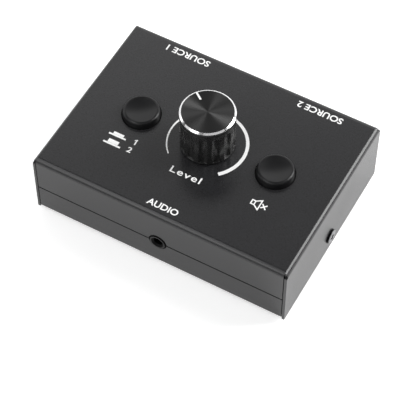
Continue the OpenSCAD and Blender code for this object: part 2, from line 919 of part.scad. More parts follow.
// Return spring under the plunger, one tube swept along its middle line
module spring(s) {
    points = [
        for (i = [0:spring_rings], j = [0:spring_sides - 1])
            let (a = 360 * i / spring_turn_rings, b = 360 * j / spring_sides)
            spring_line[i] + spring_wire / 2 * [cos(b) * cos(a), cos(b) * sin(a), sin(b)]
    ];
    wall = [
        for (i = [0:spring_rings - 1], j = [0:spring_sides - 1])
            let (k = (j + 1) % spring_sides, low = i * spring_sides, high = low + spring_sides)
            each [[low + j, low + k, high + k], [low + j, high + k, high + j]]
    ];
    last = spring_rings * spring_sides;
    ends = [
        for (j = [1:spring_sides - 2])
            each [[0, j + 1, j], [last, last + j, last + j + 1]]
    ];
    color("#d0d2d4")
    translate([s * button_x, 0, 0])
        polyhedron(points, concat(wall, ends));
}

top_cover();
base_pan();
side_screws();
rubber_feet();
circuit_board();
board_standoffs();
board_screws();
jack(front_jack_at);  // front_jack
jack(rear_jack_1_at);  // rear_jack_1
jack(rear_jack_2_at);  // rear_jack_2
jack_terminals(front_jack_at);  // front_jack_terminals
jack_terminals(rear_jack_1_at);  // rear_jack_1_terminals
jack_terminals(rear_jack_2_at);  // rear_jack_2_terminals
pot_case();
pot_wafers();
pot_bushing();
pot_terminals();
switch(-1);  // select_switch
switch(1);  // mute_switch
switch_terminals(-1);  // select_switch_terminals
switch_terminals(1);  // mute_switch_terminals
spring(-1);  // select_spring
spring(1);  // mute_spring
knob_body();
knob_cap();
pot_shaft();
pot_wipers();
button(-1);  // select_button
plunger(-1);  // select_plunger
button(1);  // mute_button
plunger(1);  // mute_plunger
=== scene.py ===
# %% [markdown]
# # Dressing a small audio selector
# The box is a folded steel case with a fluted knob, two push buttons and three round sockets.
# Its solids come from a CAD model, so this lesson never moves or resizes them. It gives each one
# a finish, remakes the knob's grip, the buttons and the return springs with rounder edges, prints
# the legends and sets up a plain studio.

# %% Load the CAD frame
import json
import math

import bpy
from mathutils import Matrix, Vector


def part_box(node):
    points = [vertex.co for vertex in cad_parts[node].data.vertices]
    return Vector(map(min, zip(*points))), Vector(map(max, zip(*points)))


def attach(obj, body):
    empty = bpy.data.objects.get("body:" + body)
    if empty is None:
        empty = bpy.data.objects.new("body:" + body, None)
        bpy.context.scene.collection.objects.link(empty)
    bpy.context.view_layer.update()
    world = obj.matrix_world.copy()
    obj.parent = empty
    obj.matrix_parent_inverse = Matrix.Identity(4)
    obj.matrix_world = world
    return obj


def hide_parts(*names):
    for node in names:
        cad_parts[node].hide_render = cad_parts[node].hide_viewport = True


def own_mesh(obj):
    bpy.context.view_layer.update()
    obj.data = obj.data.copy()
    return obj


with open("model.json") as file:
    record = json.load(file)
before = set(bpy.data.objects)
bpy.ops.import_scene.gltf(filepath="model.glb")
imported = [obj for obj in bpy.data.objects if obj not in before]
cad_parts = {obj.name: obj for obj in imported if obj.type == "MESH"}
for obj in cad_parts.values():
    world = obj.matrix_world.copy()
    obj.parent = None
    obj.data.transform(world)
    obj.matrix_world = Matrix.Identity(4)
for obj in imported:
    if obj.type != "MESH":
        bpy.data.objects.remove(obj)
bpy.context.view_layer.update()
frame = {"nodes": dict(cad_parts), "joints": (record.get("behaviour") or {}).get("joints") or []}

MM = 0.001
nodes = frame["nodes"]

# %% [markdown]
# ## Places taken from the frame
# The ink, the paint and the grip that are added later meet faces of the CAD solids. The places of
# those faces could be typed in as numbers, but then they would be wrong as soon as the model
# changes. So they are read from the boxes of the nodes.

# %% Read the faces that carry later pieces
cover_low, cover_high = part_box("top_cover")
panel_z = cover_high.z
wall_foot_z = cover_low.z
knob_low, knob_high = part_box("knob_body")
cap_top_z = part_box("knob_cap")[1].z
screw_end_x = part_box("side_screws")[1].x
print("panel at", round(panel_z / MM, 2), "mm, knob top at", round(cap_top_z / MM, 2), "mm")

# %% [markdown]
# ## Colours and shader nodes
# A colour picked from a picture is sRGB, but the renderer works in linear light, so one function
# turns a hex value to linear. Materials could be wired by hand in the shader editor, but a script
# is easier to repeat. One function adds a shader node, sets its values and links its inputs, which
# keeps every material below down to a few lines.

# %% Define the colour and node helpers
def linear(hex_colour):
    """Linear RGBA of an sRGB hex colour."""
    parts = [int(hex_colour[i:i + 2], 16) / 255 for i in (1, 3, 5)]
    return [p / 12.92 if p <= 0.04045 else ((p + 0.055) / 1.055) ** 2.4 for p in parts] + [1.0]


def feed(tree, node, links):
    """Link outputs of other nodes to the named inputs of this one."""
    for name, output in links.items():
        tree.links.new(output, node.inputs[name])


def add_node(tree, kind, values=None, links=None, **settings):
    """New shader node with its settings, input values and links from other nodes' outputs."""
    made = tree.nodes.new("ShaderNode" + kind)
    for name, value in settings.items():
        setattr(made, name, value)
    for name, value in (values or {}).items():
        made.inputs[name].default_value = value
    feed(tree, made, links or {})
    return made


def start_material(name, **values):
    """Empty material with a Principled shader, and its node tree and object coordinates."""
    material = bpy.data.materials.new(name)
    material.use_nodes = True
    tree = material.node_tree
    tree.nodes.clear()
    shader = add_node(tree, "BsdfPrincipled", values)
    add_node(tree, "OutputMaterial", links={"Surface": shader.outputs["BSDF"]})
    place = add_node(tree, "TexCoord").outputs["Object"]
    return material, tree, shader, place


print("a dark grey in linear light:", [round(c, 4) for c in linear("#262628")[:3]])

# %% [markdown]
# ## Powder-coated steel
# The case is sheet steel under a black polyester powder coat. The powder melts into a skin with
# a fine orange-peel grain of about half a millimetre, which breaks reflections into a satin
# sheen. A scanned texture could carry the grain, but a noise bump has no seams and stays sharp.
# A second, wide noise on the roughness makes the sheen a little uneven, as sprayed powder is.

# %% Make the powder coat
def powder_coated_steel():
    material, tree, shader, place = start_material("powder_coated_steel", IOR=1.5)
    grain_mm = 0.5
    grain_depth_mm = 0.02
    cut_edge_mm = 0.15
    grain = add_node(tree, "TexNoise", {"Scale": 1 / (grain_mm * MM), "Detail": 3.0},
                     {"Vector": place})
    cloud_mm = 25.0
    cloud = add_node(tree, "TexNoise", {"Scale": 1 / (cloud_mm * MM), "Detail": 2.0},
                     {"Vector": place})
    tint = add_node(tree, "ValToRGB", links={"Fac": grain.outputs["Fac"]})
    tint.color_ramp.elements[0].position = 0.35
    tint.color_ramp.elements[0].color = linear("#202021")
    tint.color_ramp.elements[1].position = 0.7
    tint.color_ramp.elements[1].color = linear("#262628")
    gloss = add_node(tree, "MapRange", {"To Min": 0.23, "To Max": 0.29},
                     {"Value": cloud.outputs["Fac"]})
    # The powder flows round the cut edges of the sheet, so they shade as if rounded
    rounded = add_node(tree, "Bevel", {"Radius": cut_edge_mm * MM}, samples=4)
    bump = add_node(tree, "Bump", {"Strength": 0.3, "Distance": grain_depth_mm * MM},
                    {"Height": grain.outputs["Fac"], "Normal": rounded.outputs["Normal"]})
    feed(tree, shader, {"Base Color": tint.outputs["Color"], "Roughness": gloss.outputs["Result"],
                        "Normal": bump.outputs["Normal"]})
    return material


coat = powder_coated_steel()
print("made", coat.name)

# %% [markdown]
# ## Moulded plastics
# The knob is glossy ABS from a polished mould and the buttons are satin ABS. Inside are phenolic,
# paper laminate and acetal, and underneath are rubber feet. Each could have a material of its
# own, but they differ only in colour, in gloss and in the grain that the mould leaves, so one
# recipe with those values serves for all of them.

# %% Make the moulded plastics
def moulded_plastic(name, dark, light, roughness, grain_mm, grain_depth_mm, ior=1.53):
    """Plastic with two near tones, a gloss and the fine grain of its mould."""
    spread = 0.1
    material, tree, shader, place = start_material(name, IOR=ior)
    grain = add_node(tree, "TexNoise", {"Scale": 1 / (grain_mm * MM), "Detail": 2.0},
                     {"Vector": place})
    tint = add_node(tree, "ValToRGB", links={"Fac": grain.outputs["Fac"]})
    tint.color_ramp.elements[0].color = linear(dark)
    tint.color_ramp.elements[1].color = linear(light)
    gloss = add_node(tree, "MapRange",
                     {"To Min": roughness * (1 - spread), "To Max": roughness * (1 + spread)},
                     {"Value": grain.outputs["Fac"]})
    bump = add_node(tree, "Bump", {"Strength": 0.25, "Distance": grain_depth_mm * MM},
                    {"Height": grain.outputs["Fac"]})
    feed(tree, shader, {"Base Color": tint.outputs["Color"], "Roughness": gloss.outputs["Result"],
                        "Normal": bump.outputs["Normal"]})
    return material


gloss_abs = moulded_plastic("polished_moulded_abs", "#232323", "#262626", 0.25, 0.3, 0.0003, 1.44)
satin_abs = moulded_plastic("satin_moulded_abs", "#151516", "#1a1a1b", 0.3, 0.3, 0.004, 1.36)
phenolic = moulded_plastic("moulded_phenolic", "#2a211c", "#382b24", 0.5, 0.4, 0.01)
wafer_laminate = moulded_plastic("phenolic_paper_laminate", "#5a3a1e", "#6e4a28", 0.55, 0.3, 0.01)
acetal = moulded_plastic("natural_acetal", "#dcd8cc", "#eae7dd", 0.4, 0.6, 0.006, 1.48)
foot_rubber = moulded_plastic("moulded_rubber", "#161616", "#222222", 0.8, 0.35, 0.02)
print("made plastics:", gloss_abs.name, satin_abs.name, acetal.name)

# %% [markdown]
# ## Sockets
# The sockets and switches are black PBT. Spark erosion roughens the mould's end plate, so the
# ring round each hole is a dull grey-black that catches light. The pin that forms the hole is
# polished, and the deep bore lies in shade. That shade is painted: the hole and its lead-in are
# coloured near black, and their sheen is held down. A material with one colour would lose the hole
# in its ring. So the two are told apart by the normal, which on the ring points along the depth of
# the box.

# %% Make the sockets' plastic
def spark_eroded_pbt():
    material, tree, shader, place = start_material("spark_eroded_black_pbt", IOR=1.45,
                                                   Roughness=0.5)
    grain_mm = 0.3
    grain_depth_mm = 0.01
    end_face_facing = 0.95
    normal = add_node(tree, "NewGeometry").outputs["True Normal"]
    along = add_node(tree, "SeparateXYZ", links={"Vector": normal}).outputs["Y"]
    flat = add_node(tree, "Math", links={0: along}, operation="ABSOLUTE")
    end_face = add_node(tree, "Math", {1: end_face_facing}, {0: flat.outputs[0]},
                        operation="GREATER_THAN").outputs[0]
    grain = add_node(tree, "TexNoise", {"Scale": 1 / (grain_mm * MM), "Detail": 2.0},
                     {"Vector": place})
    texture = add_node(tree, "MixRGB", {"Color1": linear("#161617"), "Color2": linear("#1f1f20")},
                       {"Fac": grain.outputs["Fac"]})
    # Painted shade: every face that does not face along the depth of the box, above all the hole
    # and its lead-in, is coloured near black
    colour = add_node(tree, "MixRGB", {"Color1": linear("#070707")},
                      {"Fac": end_face, "Color2": texture.outputs["Color"]})
    # Painted shade too: off the end faces the sheen is held down, so the hole mirrors little light
    mouth_shade_sheen = add_node(tree, "MapRange", {"To Min": 0.12, "To Max": 0.5}, {"Value": end_face})
    bump = add_node(tree, "Bump", {"Strength": 0.25, "Distance": grain_depth_mm * MM},
                    {"Height": grain.outputs["Fac"]})
    feed(tree, shader, {"Base Color": colour.outputs["Color"], "Normal": bump.outputs["Normal"],
                        "Specular IOR Level": mouth_shade_sheen.outputs["Result"]})
    return material


socket_plastic = spark_eroded_pbt()
print("made", socket_plastic.name)

# %% [markdown]
# ## Spun and diamond-cut aluminium
# The knob's cap is an aluminium disc. Its face is spun with fine rings and anodised black; then
# a diamond tool cuts the bevel, which stays bright metal. The rings stretch highlights into
# radial fans, which the shader's anisotropy gives with a tangent that runs round the axis. The
# bevel is told from the face by how far its normal leans. Real rings lie about 0.05 mm apart;
# they are drawn at 0.12 mm so that they show.

# %% Make the cap's metal
def spun_anodised_aluminium():
    material, tree, shader, place = start_material(
        "spun_black_anodised_aluminium", Metallic=1.0, Anisotropic=0.97,
        **{"Anisotropic Rotation": 0.25})
    ring_mm = 0.12
    ring_depth_mm = 0.004
    face_facing_up, side_facing_up = 0.95, 0.3
    normal = add_node(tree, "NewGeometry").outputs["True Normal"]
    facing_up = add_node(tree, "SeparateXYZ", links={"Vector": normal}).outputs["Z"]
    not_flat = add_node(tree, "Math", {1: face_facing_up}, {0: facing_up}, operation="LESS_THAN")
    not_upright = add_node(tree, "Math", {1: side_facing_up}, {0: facing_up},
                           operation="GREATER_THAN")
    bevel = add_node(tree, "Math", links={0: not_flat.outputs[0], 1: not_upright.outputs[0]},
                     operation="MULTIPLY").outputs[0]
    # The wave texture draws 20 rings for each 2 pi of its unit length
    rings = add_node(tree, "TexWave", {"Scale": math.pi / (10 * ring_mm * MM), "Distortion": 0.6,
                                       "Detail": 2.0, "Detail Scale": 2.0},
                     {"Vector": place}, wave_type="RINGS", rings_direction="Z")
    face = add_node(tree, "MixRGB", {"Color1": linear("#3f3f3f"), "Color2": linear("#474747")},
                    {"Fac": rings.outputs["Fac"]})
    colour = add_node(tree, "MixRGB", {"Color2": linear("#f4f4f5")},
                      {"Fac": bevel, "Color1": face.outputs["Color"]})
    gloss = add_node(tree, "MapRange", {"To Min": 0.42, "To Max": 0.2}, {"Value": bevel})
    round_axis = add_node(tree, "Tangent", direction_type="RADIAL", axis="Z")
    bump = add_node(tree, "Bump", {"Strength": 0.05, "Distance": ring_depth_mm * MM},
                    {"Height": rings.outputs["Fac"]})
    feed(tree, shader, {"Base Color": colour.outputs["Color"], "Roughness": gloss.outputs["Result"],
                        "Tangent": round_axis.outputs["Tangent"],
                        "Normal": bump.outputs["Normal"]})
    return material


cap_metal = spun_anodised_aluminium()
print("made", cap_metal.name)

# %% [markdown]
# ## Plated metals
# Standoffs, board screws, shaft and springs are zinc-plated steel, and the terminals are tinned
# brass. A plain metal shader would look like chrome, but the bath leaves a skin that is bright
# and faintly mottled. So a soft noise of under a millimetre moves its tint and its roughness.

# %% Make the plated metals
def plated_metal(name, dark, light, roughness, mottle_mm):
    """Plated metal with two near tones and a mottled gloss."""
    spread = 0.3
    material, tree, shader, place = start_material(name, Metallic=1.0)
    mottle = add_node(tree, "TexNoise", {"Scale": 1 / (mottle_mm * MM), "Detail": 3.0},
                      {"Vector": place})
    tint = add_node(tree, "ValToRGB", links={"Fac": mottle.outputs["Fac"]})
    tint.color_ramp.elements[0].color = linear(dark)
    tint.color_ramp.elements[1].color = linear(light)
    gloss = add_node(tree, "MapRange",
                     {"To Min": roughness * (1 - spread), "To Max": roughness * (1 + spread)},
                     {"Value": mottle.outputs["Fac"]})
    feed(tree, shader, {"Base Color": tint.outputs["Color"], "Roughness": gloss.outputs["Result"]})
    return material


bright_zinc = plated_metal("bright_zinc_plated_steel", "#b4b6ba", "#d2d4d7", 0.28, 0.9)
tinned_brass = plated_metal("tinned_brass", "#b9b39f", "#d6d0bd", 0.32, 0.6)
print("made plated metals:", bright_zinc.name, tinned_brass.name)

# %% [markdown]
# ## Side screws
# The two screws in the sides are plated with black zinc. Their heads get two copies of the plating:
# a lighter one on the flat, which mirrors the floor as the lit part, and a near-black one on rim
# and recess as painted shade. A painted mask could tell the two apart, but it would need an image.
# The flat also stands out by its normal and by how far out it lies, and those two cost nothing.

# %% Make the side screws' plating
def black_zinc_painted_shade():
    flat_facing = 0.7
    flat_depth_mm = 0.3
    material, tree, shader, place = start_material("black_zinc_painted_shade", Metallic=1.0,
                                                   Roughness=0.3)
    normal = add_node(tree, "NewGeometry").outputs["True Normal"]
    high = []
    for vector, least in ((normal, flat_facing), (place, screw_end_x - flat_depth_mm * MM)):
        across = add_node(tree, "SeparateXYZ", links={"Vector": vector}).outputs["X"]
        reach = add_node(tree, "Math", links={0: across}, operation="ABSOLUTE")
        high.append(add_node(tree, "Math", {1: least}, {0: reach.outputs[0]},
                             operation="GREATER_THAN").outputs[0])
    flat = add_node(tree, "Math", links={0: high[0], 1: high[1]}, operation="MULTIPLY")
    # Painted light and shade: the flat of the head is a lighter metal, and rim and recess are near
    # black
    colour = add_node(tree, "MixRGB", {"Color1": linear("#161617"), "Color2": linear("#8a8a8c")},
                      {"Fac": flat.outputs[0]})
    feed(tree, shader, {"Base Color": colour.outputs["Color"]})
    return material


black_zinc = black_zinc_painted_shade()
print("made", black_zinc.name)

# %% [markdown]
# ## Circuit board
# The board is woven glass in resin under green solder mask, and the threads show faintly through
# it. Two crossed waves could draw them, but the bricks of the brick texture already look like
# threads that pass over and under. A low bump lets them catch the light.

# %% Make the board
def solder_mask_on_glass():
    material, tree, shader, place = start_material("solder_mask_on_glass", IOR=1.55, Roughness=0.3)
    thread_mm = 0.5
    thread_depth_mm = 0.01
    weave = add_node(tree, "TexBrick", {"Scale": 1 / (thread_mm * MM), "Mortar Size": 0.04,
                                        "Color1": linear("#1d4a2a"), "Color2": linear("#225433"),
                                        "Mortar": linear("#18402a")}, {"Vector": place})
    bump = add_node(tree, "Bump", {"Strength": 0.1, "Distance": thread_depth_mm * MM},
                    {"Height": weave.outputs["Fac"]})
    feed(tree, shader, {"Base Color": weave.outputs["Color"], "Normal": bump.outputs["Normal"]})
    return material


board_laminate = solder_mask_on_glass()
print("made", board_laminate.name)

# %% [markdown]
# ## Ink
# The legends are white screen-printing ink, a dull film a few hundredths of a millimetre thick.
# One flat white would do from far off. Close by, the mesh of the screen leaves the film a little
# uneven, so a fine noise moves it between two whites.

# %% Make the ink
def screen_printed_ink():
    material, tree, shader, place = start_material("white_screen_printed_ink", IOR=1.48,
                                                   Roughness=0.55)
    mesh_mm = 0.2
    film = add_node(tree, "TexNoise", {"Scale": 1 / (mesh_mm * MM), "Detail": 2.0},
                    {"Vector": place})
    tint = add_node(tree, "ValToRGB", links={"Fac": film.outputs["Fac"]})
    tint.color_ramp.elements[0].color = linear("#ececec")
    tint.color_ramp.elements[1].color = linear("#fbfbfa")
    feed(tree, shader, {"Base Color": tint.outputs["Color"]})
    return material


ink = screen_printed_ink()
print("made", ink.name)

# %% [markdown]
# ## Finishes of the CAD nodes
# Each solid of the box gets the finish of its real material. That could be one line per node, but
# a table that pairs each finish with its nodes is easier to read. The nodes keep their meshes:
# only the material in their slot changes.

# %% Give each CAD node its finish
FINISHES = [
    (coat, ["top_cover", "base_pan"]),
    (black_zinc, ["side_screws"]),
    (foot_rubber, ["rubber_feet"]),
    (board_laminate, ["circuit_board"]),
    (bright_zinc, ["board_standoffs", "board_screws", "pot_bushing", "pot_shaft",
                   "select_spring", "mute_spring"]),
    (socket_plastic, ["front_jack", "rear_jack_1", "rear_jack_2", "select_switch",
                      "mute_switch"]),
    (tinned_brass, ["front_jack_terminals", "rear_jack_1_terminals", "rear_jack_2_terminals",
                    "pot_terminals", "pot_wipers", "select_switch_terminals",
                    "mute_switch_terminals"]),
    (phenolic, ["pot_case"]),
    (wafer_laminate, ["pot_wafers"]),
    (gloss_abs, ["knob_body"]),
    (cap_metal, ["knob_cap"]),
    (satin_abs, ["select_button", "mute_button"]),
    (acetal, ["select_plunger", "mute_plunger"]),
]
for finish, names in FINISHES:
    for name in names:
        slots = nodes[name].material_slots
        if len(slots) == 0:
            nodes[name].data.materials.append(finish)
        for slot in slots:
            slot.material = finish
print("finished nodes:", sum(len(names) for _, names in FINISHES), "of", len(nodes))

# %% [markdown]
# ## Fluted grip
# The grip is one moulding with round-ended flutes for the fingers. In the CAD solid the flutes
# meet the ribs in knife edges, which no mould leaves. A boolean with bevels could soften them,
# but the grip is also a surface whose radius depends only on angle and height. So it is built as
# a ring of columns, and a smooth minimum of the rib's and the flute's radius rounds each edge.

# %% Define the grip's radius
FLUTES = 13
FLUTE_R = 1.9 * MM
FLUTE_DEPTH = 0.65 * MM
INDEX_ANGLE = math.radians(143.5)
FLUTE_PHASE = INDEX_ANGLE + math.radians(6.7)
EDGE_ROUND = 0.3 * MM
LEDGE_ROUND = 0.12 * MM
COLLAR_H = 1.5 * MM
COLLAR_STEP = 0.1 * MM
RIM_H = 0.8 * MM
foot_z, seat_z = knob_low.z, knob_high.z
collar_r = knob_high.x
grip_r = collar_r - COLLAR_STEP
flute_axis = grip_r + FLUTE_R - FLUTE_DEPTH
flute_low = foot_z + RIM_H
flute_top = seat_z - COLLAR_H - FLUTE_R


def grip_radius(angle, z):
    """Radius of the fluted grip: the smaller of rib and flute, with a rounded edge between."""
    pitch = 2 * math.pi / FLUTES
    off = (angle - FLUTE_PHASE + pitch / 2) % pitch - pitch / 2
    cut = FLUTE_R ** 2 - max(0, z - flute_top) ** 2 - (flute_axis * math.sin(off)) ** 2
    groove = flute_axis * math.cos(off) - math.sqrt(cut) if cut > 0 else flute_axis
    near = max(EDGE_ROUND - abs(groove - grip_r), 0) / EDGE_ROUND
    smooth = min(groove, grip_r) - near ** 2 * EDGE_ROUND / 4
    rise = min(max((z - flute_low) / LEDGE_ROUND + 0.5, 0), 1)
    return grip_r + (smooth - grip_r) * rise ** 2 * (3 - 2 * rise)


deepest = grip_radius(FLUTE_PHASE, (flute_low + flute_top) / 2)
print("ribs at", round(grip_r / MM, 2), "mm, flutes down to", round(deepest / MM, 2), "mm")


# %% Define how pieces are made
def place_piece(name, mesh, material, body):
    """Object of this mesh, with its finish, that rides on a body."""
    mesh.materials.clear()
    mesh.materials.append(material)
    piece = bpy.data.objects.new(name, mesh)
    bpy.context.scene.collection.objects.link(piece)
    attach(piece, body)
    return piece


def new_piece(name, vertices, faces, material, slot, body):
    """Piece with a new mesh of these points and faces."""
    mesh = bpy.data.meshes.new(name)
    mesh.from_pydata(vertices, [], faces)
    mesh.validate()
    return place_piece(name, mesh, material, body)


def shade_round(piece, sharp_from):
    """Shade a piece smooth, apart from edges that turn by more than these degrees."""
    piece.data.shade_smooth()
    piece.data.set_sharp_from_angle(angle=math.radians(sharp_from))


# %% Define a closed stack of rings
def tube_faces(rings, columns):
    """Faces through that many rings of points, with both ends closed."""
    last = (rings - 1) * columns
    faces = [tuple(range(columns)), tuple(range(last + columns - 1, last - 1, -1))]
    for i in range(rings - 1):
        for j in range(columns):
            k = (j + 1) % columns
            faces.append((i * columns + j, (i + 1) * columns + j, (i + 1) * columns + k,
                          i * columns + k))
    return faces


def ring_stack(rows, columns, middle=(0, 0)):
    """Points and faces of a closed stack of rings, each a radius and a height. The radius may be
    a function of angle and height. The rows run from the top outwards, down and in again."""
    vertices = []
    for radius, z in rows:
        for j in range(columns):
            angle = 2 * math.pi * j / columns
            r = radius(angle, z) if callable(radius) else radius
            vertices.append((middle[0] + r * math.cos(angle), middle[1] + r * math.sin(angle), z))
    return vertices, tube_faces(len(rows), columns)


print("faces of a cup with 3 rings of 8 points:", len(tube_faces(3, 8)))

# %% Build the grip
GRIP_COLUMNS = FLUTES * 22
ARCH_ROWS = 20
FOOT_ROUND = 0.3 * MM
STEP_H = 0.15 * MM
STEP_ROUND = 0.03 * MM
SPIGOT_R = 4.52 * MM
SPIGOT_LENGTH = 1.22 * MM
GRIP_WALL = 2.2 * MM
HOLLOW_H = 6.0 * MM
HUB_R = 5.0 * MM
HUB_LIFT = 0.2 * MM
BORE_R = 3.02 * MM
BORE_PLAY = 0.02 * MM
SHARP_FROM = 35
# Rows from the seat of the cap and its spigot over the collar
collar_z = seat_z - COLLAR_H
rows = [(SPIGOT_R, seat_z - SPIGOT_LENGTH), (SPIGOT_R, seat_z), (collar_r, seat_z)]
rows += [(collar_r, collar_z + STEP_H), (collar_r - STEP_ROUND, collar_z)]
# Then down the flutes: close rows in their round tops and at their lower ends
rows += [(grip_radius, collar_z - STEP_H - i / ARCH_ROWS * FLUTE_R) for i in range(ARCH_ROWS + 1)]
rows += [(grip_radius, flute_low + (flute_top - flute_low) * part) for part in (0.6, 0.2)]
rows += [(grip_radius, flute_low + LEDGE_ROUND * part)
         for part in (0.6, 0.3, 0.1, -0.1, -0.3, -0.6)]
# Last round the foot and up into the hollow, with the hub and its bore
rows += [(grip_r, foot_z + FOOT_ROUND), (grip_r - 0.3 * FOOT_ROUND, foot_z + 0.3 * FOOT_ROUND),
         (grip_r - FOOT_ROUND, foot_z)]
hollow_r, hollow_z = collar_r - GRIP_WALL, foot_z + HOLLOW_H
hub_z = foot_z + HUB_LIFT
bore_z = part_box("pot_shaft")[1].z + BORE_PLAY
rows += [(hollow_r, foot_z), (hollow_r, hollow_z), (HUB_R, hollow_z), (HUB_R, hub_z),
         (BORE_R, hub_z), (BORE_R, bore_z)]
grip = new_piece("fluted_grip", *ring_stack(rows, GRIP_COLUMNS), gloss_abs, "knob_plastic",
                 "level_knob")
shade_round(grip, SHARP_FROM)
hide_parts("knob_body")
print("grip:", len(rows), "rows of", GRIP_COLUMNS, "columns")

# %% [markdown]
# ## Dished buttons
# Each button is a hollow cap with a dish for the finger, a fat round lip and a tapered side. The
# CAD solid has a thin lip. A bevel modifier could fatten it, but it would also round the dish's
# own facets. So the button is turned like the grip: the dish is an arc that runs smoothly into
# the lip's arc, and the side is a straight line that touches the lip.

# %% Turn the buttons
LIP_R = 1.0 * MM
LIP_INSET = 0.25 * MM
SIDE_FOOT = 0.3 * MM
DISH_DEPTH = 0.7 * MM
ROOF = 1.2 * MM
WALL = 1.2 * MM
BOSS_R = 3.1 * MM
BOSS_LENGTH = 4.0 * MM
SOCKET_HALF = 1.7 * MM
BUTTON_COLUMNS = 96
DISH_ROWS = 16
LIP_ROWS = 12


def socket_radius(angle, z):
    """Radius of the square socket that grips the plunger."""
    return SOCKET_HALF / max(abs(math.cos(angle)), abs(math.sin(angle)))


def dished_button(name, node, body):
    """Turned button in the place of a node, with its hollow underside and socket."""
    low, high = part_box(node)
    outer = (high.x - low.x) / 2
    lip_x, lip_z = outer - LIP_INSET - LIP_R, high.z - LIP_R
    dish_r = (lip_x ** 2 - 2 * LIP_R * DISH_DEPTH + DISH_DEPTH ** 2) / (2 * DISH_DEPTH)
    dish_z = high.z - DISH_DEPTH + dish_r
    # The dish touches the lip where the line between their centres crosses both
    touch = math.atan2(dish_z - lip_z, -lip_x)
    reach = math.asin((lip_x + LIP_R * math.cos(touch)) / dish_r)
    foot = Vector((outer - lip_x, panel_z + SIDE_FOOT - lip_z))
    side = math.atan2(foot.y, foot.x) + math.acos(LIP_R / foot.length)
    rows = []
    for i in range(1, DISH_ROWS):
        sweep = reach * i / DISH_ROWS
        rows.append((dish_r * math.sin(sweep), dish_z - dish_r * math.cos(sweep)))
    for i in range(LIP_ROWS + 1):
        sweep = touch + (side - touch) * i / LIP_ROWS
        rows.append((lip_x + LIP_R * math.cos(sweep), lip_z + LIP_R * math.sin(sweep)))
    roof_z = high.z - DISH_DEPTH - ROOF
    boss_z = roof_z - BOSS_LENGTH
    rows += [(outer, panel_z + SIDE_FOOT), (outer, low.z), (outer - WALL, low.z),
             (outer - WALL, roof_z), (BOSS_R, roof_z), (BOSS_R, boss_z),
             (socket_radius, boss_z), (socket_radius, roof_z)]
    middle = (low + high) / 2
    button = new_piece(name, *ring_stack(rows, BUTTON_COLUMNS, middle), satin_abs,
                       "button_plastic", body)
    shade_round(button, SHARP_FROM)
    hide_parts(node)
    return lip_x + LIP_R * math.cos(touch)


for use in ("select", "mute"):
    dish_edge = dished_button(use + "_dished_button", use + "_button", use + "_push")
    print(use, "button: dish of radius", round(dish_edge / MM, 2), "mm")

# %% [markdown]
# ## Return springs
# Under each plunger a coil of spring wire pushes the button back. A coil that only stood there
# would be run through by the plunger when it is pressed. A chain of bones could shorten it, but
# each ring would only sink in step with its height. The coil is swept as one tube, with a rounder
# wire than the CAD solid has; it keeps its length, and the room that the pressed plunger leaves it
# is printed.

# %% Wind the return springs
WIRE_R = 0.2 * MM
TURNS = 4
TURN_RINGS = 24
WIRE_SIDES = 10
WIRE_SHARP_FROM = 50
SPRING_PLAY = 0.05 * MM


def coil_spring(name, node, joint, plunger):
    """Closed tube wound in the box of a spring's node; gives the room left for it when the joint is
    pressed.
    """
    low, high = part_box(node)
    middle = (low + high) / 2
    coil_r = (high.x - low.x) / 2 - WIRE_R
    rings = TURNS * TURN_RINGS
    vertices = []
    for i in range(rings + 1):
        turn = 2 * math.pi * i / TURN_RINGS
        out = Vector((math.cos(turn), math.sin(turn), 0))
        rise = low.z + WIRE_R + (high.z - low.z - 2 * WIRE_R) * i / rings
        heart = Vector((middle.x, middle.y, rise)) + out * coil_r
        for j in range(WIRE_SIDES):
            side = 2 * math.pi * j / WIRE_SIDES
            vertices.append(heart + WIRE_R * (math.cos(side) * out
                                              + math.sin(side) * Vector((0, 0, 1))))
    coil = new_piece(name, vertices, tube_faces(rings + 1, WIRE_SIDES), bright_zinc,
                     "plated_steel", "chassis")
    shade_round(coil, WIRE_SHARP_FROM)
    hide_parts(node)
    travel = next(j["range_m"][1] for j in frame["joints"] if j["name"] == joint)
    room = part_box(plunger)[0].z - travel - SPRING_PLAY - low.z
    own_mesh(coil)
    return room


for use in ("select", "mute"):
    pressed = coil_spring(use + "_coil", use + "_spring", use + "_press", use + "_plunger")
    print(use, "spring when pressed:", round(pressed / MM, 2), "mm high")

# %% [markdown]
# ## Printed legends
# The legends lie on the top panel: an arc round the knob, the two positions of the select button
# with their numbers, a crossed-out loudspeaker at the mute button, and a word at the knob and at
# each socket. An image laid on the panel could carry them all, but it would blur in a close view.
# So each is a thin closed film of ink, with an edge as crisp as the print. Their places are in
# millimetres.

# %% Define how a film of ink is laid on the panel
INK_FILM = 0.03 * MM


def ink_film(name, points, faces):
    """Closed film of ink on the panel over these anticlockwise faces of [x, y] points in mm."""
    count = len(points)
    low = [(x * MM, y * MM, panel_z) for x, y in points]
    high = [(x, y, z + INK_FILM) for x, y, z in low]
    edges = [(a, b) for face in faces for a, b in zip(face, face[1:] + face[:1])]
    rims = [edge for edge in edges if edge[::-1] not in edges]
    solid = [face[::-1] for face in faces]
    solid += [[count + i for i in face] for face in faces]
    solid += [(a, b, count + b, count + a) for a, b in rims]
    return new_piece(name, low + high, solid, ink, "coated_steel", "chassis")


def ink_band(name, outer, inner, closed=False):
    """Film between two rows of points; the outer row lies to the right of the way it runs."""
    count = len(outer)
    steps = range(count if closed else count - 1)
    faces = [[i, (i + 1) % count, count + (i + 1) % count, count + i] for i in steps]
    return ink_film(name, outer + inner, faces)


print("ink film:", INK_FILM / MM, "mm")

# %% [markdown]
# ## Level arc
# Round the knob runs an arc that swells from soft to loud. A curve object with a changing radius
# could draw it, but it would bulge upwards as it swells. So its two edges are rows of points, and
# a band of ink lies between them.

# %% Print the level arc
ARC_OUTER = 14.65
ARC_STEP = 3.0
